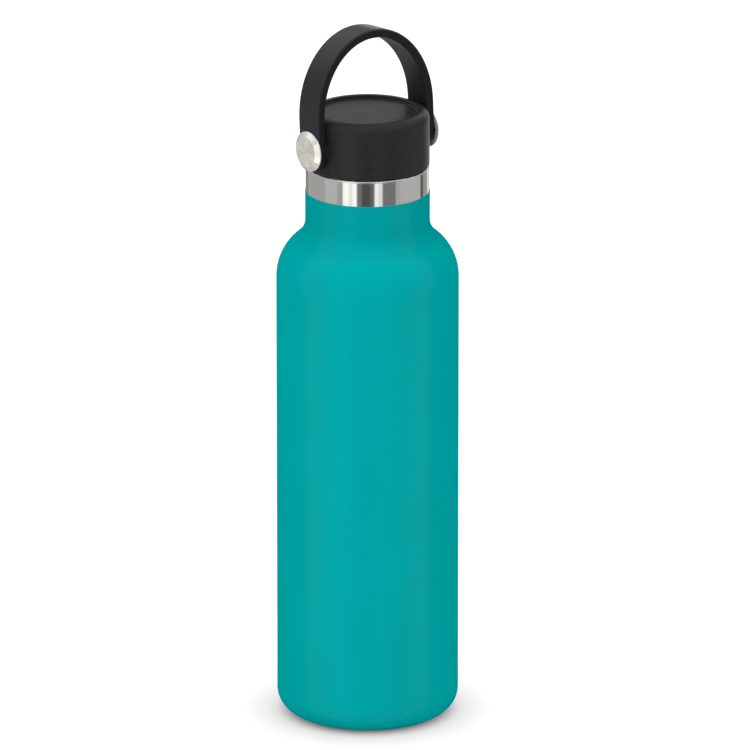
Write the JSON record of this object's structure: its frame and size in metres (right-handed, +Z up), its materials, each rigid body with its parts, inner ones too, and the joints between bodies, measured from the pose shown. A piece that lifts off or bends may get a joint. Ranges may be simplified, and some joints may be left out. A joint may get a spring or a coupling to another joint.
{
  "type": "insulated water bottle",
  "caption": "Tall double-wall steel bottle with a powder-coated body, a bare steel collar, a screw lid and a swinging carry handle.",
  "frame": {"origin": "centre of the plane the bottle stands on", "axes": "+Z up along the bottle's axis, X along the handle's pivot axis, so the handle's arch is seen full-face along Y"},
  "size_m": [0.073, 0.073, 0.2855],
  "materials": {
    "coat": "teal powder coat, fine matte texture",
    "polished_steel": "polished stainless steel",
    "bare_steel": "satin stainless steel",
    "turned_steel": "faced stainless steel with a polished bevel",
    "sealing_glass": "fused sealing glass",
    "getter": "pressed powder pellet",
    "silicone": "translucent grey silicone",
    "lid_plastic": "charcoal, fine mould texture",
    "plug_plastic": "charcoal, satin",
    "strap_plastic": "charcoal, flexible and matte",
    "bush_plastic": "dark grey, smooth",
    "washer_plastic": "black acetal, smooth",
    "foam": "closed-cell foam",
    "insert_brass": "turned brass"
  },
  "bodies": {
    "bottle": {"powder_coat": "coat", "outer_shell": "polished_steel", "base_cup": "bare_steel", "base_cover": "bare_steel", "sealing_bead": "sealing_glass", "inner_liner": "bare_steel", "liner_base": "bare_steel", "getter_holder": "bare_steel", "getter_pellet": "getter"},
    "gasket": {"lid_gasket": "silicone"},
    "lid": {"lid_cap": "lid_plastic", "lid_plug": "plug_plastic", "lid_foam": "foam", "threaded_insert_left": "insert_brass", "threaded_insert_right": "insert_brass", "pivot_bolt_left": "turned_steel", "pivot_bolt_right": "turned_steel", "inner_washer_left": "washer_plastic", "inner_washer_right": "washer_plastic", "outer_washer_left": "bare_steel", "outer_washer_right": "bare_steel"},
    "handle": {"handle_strap": "strap_plastic", "strap_bush_left": "bush_plastic", "strap_bush_right": "bush_plastic"}
  },
  "joints": [
    {"name": "lid_rise", "type": "slide", "parent": "bottle", "child": "gasket", "axis": [0, 0, 1], "range_m": [0, 0.0181]},
    {"name": "lid_turn", "type": "hinge", "parent": "gasket", "child": "lid", "pos_m": [0, 0, 0.2292], "axis": [0, 0, 1], "range_deg": [0, 1080]},
    {"name": "handle_swing", "type": "hinge", "parent": "lid", "child": "handle", "pos_m": [0, 0, 0.2395], "axis": [1, 0, 0], "range_deg": [-126.5, 133.5]}
  ],
  "couplings": [
    {"joint": "lid_rise", "follows": "lid_turn", "m_per_rad": 0.00095493}
  ]
}
